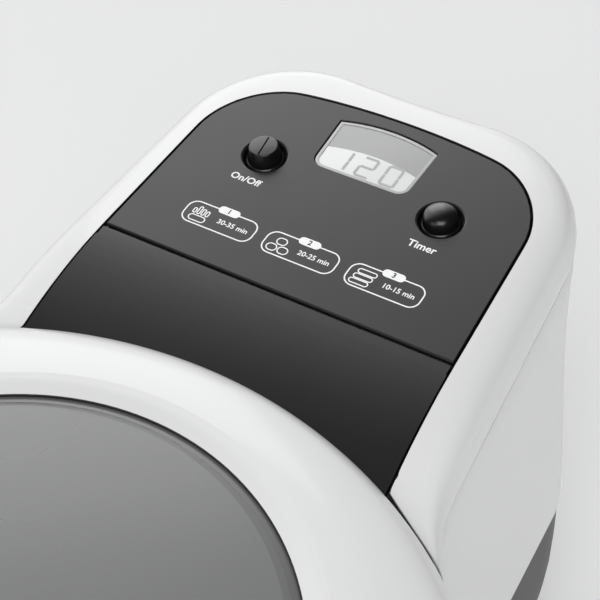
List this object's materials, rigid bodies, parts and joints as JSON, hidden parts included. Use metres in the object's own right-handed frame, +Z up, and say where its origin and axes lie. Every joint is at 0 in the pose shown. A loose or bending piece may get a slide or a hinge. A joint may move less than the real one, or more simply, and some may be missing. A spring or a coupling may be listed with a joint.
{
  "type": "paddle air fryer",
  "caption": "Pear-shaped table air fryer with a hinged window lid, a stirring paddle in a round pan, a folding pan handle and a rear control panel with buttons.",
  "frame": {"origin": "centre of the bounding box at the plane the feet stand on", "axes": "+Z up, -Y toward the handle and the front of the lid, +Y toward the control panel and the rear"},
  "size_m": [0.304, 0.4102, 0.2241],
  "materials": {
    "white_plastic": "glossy",
    "grey_plastic": "satin",
    "dark_plastic": "satin",
    "panel_plastic": "satin",
    "black_plastic": "satin",
    "gloss_black": "glossy",
    "lens": "glossy",
    "window": "smoky",
    "board": "solder mask",
    "rubber": "matte",
    "steel": "brushed",
    "aluminium": "satin",
    "coated": "non-stick coating",
    "motor": "plated can",
    "brass": "satin",
    "duct": "aluminised",
    "heater": "heat stained",
    "wire": "insulated"
  },
  "bodies": {
    "base": {"base_tray": "dark_plastic", "lower_housing": "dark_plastic", "main_housing": "white_plastic", "rear_cover": "white_plastic", "inner_deck": "grey_plastic", "control_panel": "panel_plastic", "display_lens": "lens", "display_module": "black_plastic", "control_board": "board", "tact_switches": "black_plastic", "hinge_pin": "steel", "hinge_brackets": "steel", "pan_well": "aluminium", "pan": "coated", "pan_bracket": "steel", "handle_pin": "steel", "gear_motor": "motor", "shaft_bushing": "brass", "fan_motor": "motor", "air_duct": "duct", "heater_element": "heater", "thermal_cutout": "brass", "outlet_grille": "dark_plastic", "power_board": "board", "power_components": "black_plastic", "wiring_harness": "wire", "cable_gland": "rubber", "rubber_feet": "rubber", "base_screws": "steel", "deck_screws": "steel"},
    "lid": {"lid_frame": "white_plastic", "lid_seal": "rubber", "window_bezel": "grey_plastic", "window_gasket": "rubber", "lid_window": "window", "lid_catches": "dark_plastic", "hinge_panel": "panel_plastic", "hinge_arms": "steel"},
    "on_off": {"on_off_button": "gloss_black"},
    "timer": {"timer_button": "gloss_black"},
    "release_right": {"lid_release_right": "grey_plastic"},
    "release_left": {"lid_release_left": "grey_plastic"},
    "stirrer": {"paddle": "black_plastic", "drive_shaft": "steel"},
    "fan": {"fan_impeller": "aluminium"},
    "handle": {"pan_handle": "dark_plastic"},
    "handle_latch": {"handle_release": "grey_plastic"}
  },
  "joints": [
    {"name": "lid_hinge", "type": "hinge", "parent": "base", "child": "lid", "pos_m": [0, 0.09477, 0.20406], "axis": [-1, 0, 0], "range_deg": [0, 75]},
    {"name": "on_off_press", "type": "slide", "parent": "base", "child": "on_off", "axis": [0, 0.1564, -0.9877], "range_m": [0, 0.0015], "stiffness_N_per_m": 400},
    {"name": "timer_press", "type": "slide", "parent": "base", "child": "timer", "axis": [0, 0.1564, -0.9877], "range_m": [0, 0.0015], "stiffness_N_per_m": 400},
    {"name": "release_right_slide", "type": "slide", "parent": "base", "child": "release_right", "axis": [-1, 0, 0], "range_m": [0, 0.003], "stiffness_N_per_m": 600},
    {"name": "release_left_slide", "type": "slide", "parent": "base", "child": "release_left", "axis": [1, 0, 0], "range_m": [0, 0.003], "stiffness_N_per_m": 600},
    {"name": "paddle_spin", "type": "hinge", "parent": "base", "child": "stirrer", "pos_m": [0, -0.06215, 0], "axis": [0, 0, 1], "continuous": true},
    {"name": "fan_spin", "type": "hinge", "parent": "base", "child": "fan", "pos_m": [0, 0.13465, 0], "axis": [0, 0, 1], "continuous": true},
    {"name": "handle_fold", "type": "hinge", "parent": "base", "child": "handle", "pos_m": [0, -0.20015, 0.13], "axis": [-1, 0, 0], "range_deg": [0, 90]},
    {"name": "handle_release_slide", "type": "slide", "parent": "handle", "child": "handle_latch", "axis": [0, 0, -1], "range_m": [0, 0.0028], "stiffness_N_per_m": 300}
  ]
}
